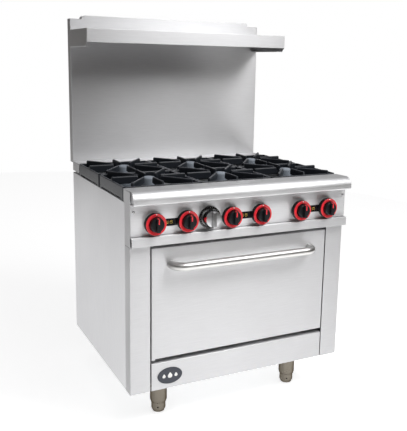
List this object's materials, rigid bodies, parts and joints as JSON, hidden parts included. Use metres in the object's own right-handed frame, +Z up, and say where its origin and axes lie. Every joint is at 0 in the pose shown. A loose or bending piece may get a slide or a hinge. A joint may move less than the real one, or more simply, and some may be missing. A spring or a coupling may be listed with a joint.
{
  "type": "commercial gas range",
  "caption": "Stainless commercial gas range on legs: open burners under cast grates, knob panel with bullnose, crumb tray, drop-down oven door, tall backguard and high shelf.",
  "frame": {"origin": "bottom centre of the whole range, on the floor between the four feet", "axes": "+Z up, +X to the right as a cook faces the range, +Y from the cook towards the backguard"},
  "size_m": [0.914, 0.8576, 1.54],
  "materials": {
    "stainless": "brushed stainless sheet, satin",
    "galvanised": "galvanised sheet, dull",
    "enamel": "dark porcelain enamel, glossy",
    "grate_iron": "cast, satin black",
    "burner_iron": "cast, blue-grey, matt",
    "brass": "machined",
    "pipe_black": "black pipe, satin",
    "chrome": "bright plated",
    "handle_steel": "polished tube",
    "knob_black": "moulded black, satin gloss",
    "leg_metal": "dark satin plating",
    "ring_red": "glossy red ring around each burner knob",
    "label_black": "matt black strip and dial plate",
    "mark_light": "printed light marks"
  },
  "bodies": {
    "cabinet": {"left_side_panel": "stainless", "right_side_panel": "stainless", "left_front_post": "stainless", "right_front_post": "stainless", "kick_panel": "stainless", "control_panel": "stainless", "bullnose_rail": "stainless", "rear_top_trim": "stainless", "backguard": "stainless", "high_shelf": "stainless", "flue_riser": "stainless", "base_pan": "galvanised", "rear_panel": "galvanised", "front_burner_rail": "galvanised", "rear_burner_rail": "galvanised", "oven_liner": "enamel", "oven_floor_plate": "enamel", "oven_burner": "burner_iron", "gas_manifold": "pipe_black", "thermostat_valve": "brass", "front_left_leg": "leg_metal", "front_right_leg": "leg_metal", "rear_left_leg": "leg_metal", "rear_right_leg": "leg_metal", "left_front_valve": "brass", "left_front_burner": "burner_iron", "left_rear_valve": "brass", "left_rear_burner": "burner_iron", "center_front_valve": "brass", "center_front_burner": "burner_iron", "center_rear_valve": "brass", "center_rear_burner": "burner_iron", "right_front_valve": "brass", "right_front_burner": "burner_iron", "right_rear_valve": "brass", "right_rear_burner": "burner_iron"},
    "oven_door": {"door_shell": "stainless", "door_liner": "enamel", "door_handle": "handle_steel", "door_hinge_left": "galvanised", "door_hinge_right": "galvanised"},
    "crumb_tray": {"crumb_tray": "stainless"},
    "oven_rack": {"oven_rack": "chrome"},
    "thermostat_knob": {"thermostat_knob": "chrome"},
    "left_front_knob": {"left_front_knob": "knob_black"},
    "left_front_grate": {"left_front_grate": "grate_iron"},
    "left_rear_knob": {"left_rear_knob": "knob_black"},
    "left_rear_grate": {"left_rear_grate": "grate_iron"},
    "center_front_knob": {"center_front_knob": "knob_black"},
    "center_front_grate": {"center_front_grate": "grate_iron"},
    "center_rear_knob": {"center_rear_knob": "knob_black"},
    "center_rear_grate": {"center_rear_grate": "grate_iron"},
    "right_front_knob": {"right_front_knob": "knob_black"},
    "right_front_grate": {"right_front_grate": "grate_iron"},
    "right_rear_knob": {"right_rear_knob": "knob_black"},
    "right_rear_grate": {"right_rear_grate": "grate_iron"},
    "front_left_foot": {"front_left_foot": "leg_metal"},
    "front_right_foot": {"front_right_foot": "leg_metal"},
    "rear_left_foot": {"rear_left_foot": "leg_metal"},
    "rear_right_foot": {"rear_right_foot": "leg_metal"}
  },
  "joints": [
    {"name": "oven_door_hinge", "type": "hinge", "parent": "cabinet", "child": "oven_door", "pos_m": [0, -0.34625, 0.285], "axis": [1, 0, 0], "range_deg": [0, 90], "stiffness_Nm_per_rad": 10, "springref_deg": -20.05},
    {"name": "crumb_tray_slide", "type": "slide", "parent": "cabinet", "child": "crumb_tray", "axis": [0, -1, 0], "range_m": [0, 0.5]},
    {"name": "oven_rack_slide", "type": "slide", "parent": "cabinet", "child": "oven_rack", "axis": [0, -1, 0], "range_m": [0, 0.024]},
    {"name": "left_front_knob_turn", "type": "hinge", "parent": "cabinet", "child": "left_front_knob", "pos_m": [-0.36717, -0.39625, 0.794], "axis": [0, -1, 0], "range_deg": [0, 90]},
    {"name": "left_rear_knob_turn", "type": "hinge", "parent": "cabinet", "child": "left_rear_knob", "pos_m": [-0.24217, -0.39625, 0.794], "axis": [0, -1, 0], "range_deg": [0, 90]},
    {"name": "center_front_knob_turn", "type": "hinge", "parent": "cabinet", "child": "center_front_knob", "pos_m": [-0.0625, -0.39625, 0.794], "axis": [0, -1, 0], "range_deg": [0, 90]},
    {"name": "center_rear_knob_turn", "type": "hinge", "parent": "cabinet", "child": "center_rear_knob", "pos_m": [0.0625, -0.39625, 0.794], "axis": [0, -1, 0], "range_deg": [0, 90]},
    {"name": "right_front_knob_turn", "type": "hinge", "parent": "cabinet", "child": "right_front_knob", "pos_m": [0.24217, -0.39625, 0.794], "axis": [0, -1, 0], "range_deg": [0, 90]},
    {"name": "right_rear_knob_turn", "type": "hinge", "parent": "cabinet", "child": "right_rear_knob", "pos_m": [0.36717, -0.39625, 0.794], "axis": [0, -1, 0], "range_deg": [0, 90]},
    {"name": "thermostat_knob_turn", "type": "hinge", "parent": "cabinet", "child": "thermostat_knob", "pos_m": [-0.15233, -0.39625, 0.798], "axis": [0, -1, 0], "range_deg": [0, 280]},
    {"name": "left_front_grate_lift", "type": "slide", "parent": "cabinet", "child": "left_front_grate", "axis": [0, 0, 1], "range_m": [0, 0.1]},
    {"name": "left_rear_grate_lift", "type": "slide", "parent": "cabinet", "child": "left_rear_grate", "axis": [0, 0, 1], "range_m": [0, 0.1]},
    {"name": "center_front_grate_lift", "type": "slide", "parent": "cabinet", "child": "center_front_grate", "axis": [0, 0, 1], "range_m": [0, 0.1]},
    {"name": "center_rear_grate_lift", "type": "slide", "parent": "cabinet", "child": "center_rear_grate", "axis": [0, 0, 1], "range_m": [0, 0.1]},
    {"name": "right_front_grate_lift", "type": "slide", "parent": "cabinet", "child": "right_front_grate", "axis": [0, 0, 1], "range_m": [0, 0.1]},
    {"name": "right_rear_grate_lift", "type": "slide", "parent": "cabinet", "child": "right_rear_grate", "axis": [0, 0, 1], "range_m": [0, 0.1]},
    {"name": "front_left_foot_screw", "type": "slide", "parent": "cabinet", "child": "front_left_foot", "axis": [0, 0, -1], "range_m": [0, 0.035]},
    {"name": "front_right_foot_screw", "type": "slide", "parent": "cabinet", "child": "front_right_foot", "axis": [0, 0, -1], "range_m": [0, 0.035]},
    {"name": "rear_left_foot_screw", "type": "slide", "parent": "cabinet", "child": "rear_left_foot", "axis": [0, 0, -1], "range_m": [0, 0.035]},
    {"name": "rear_right_foot_screw", "type": "slide", "parent": "cabinet", "child": "rear_right_foot", "axis": [0, 0, -1], "range_m": [0, 0.035]}
  ]
}
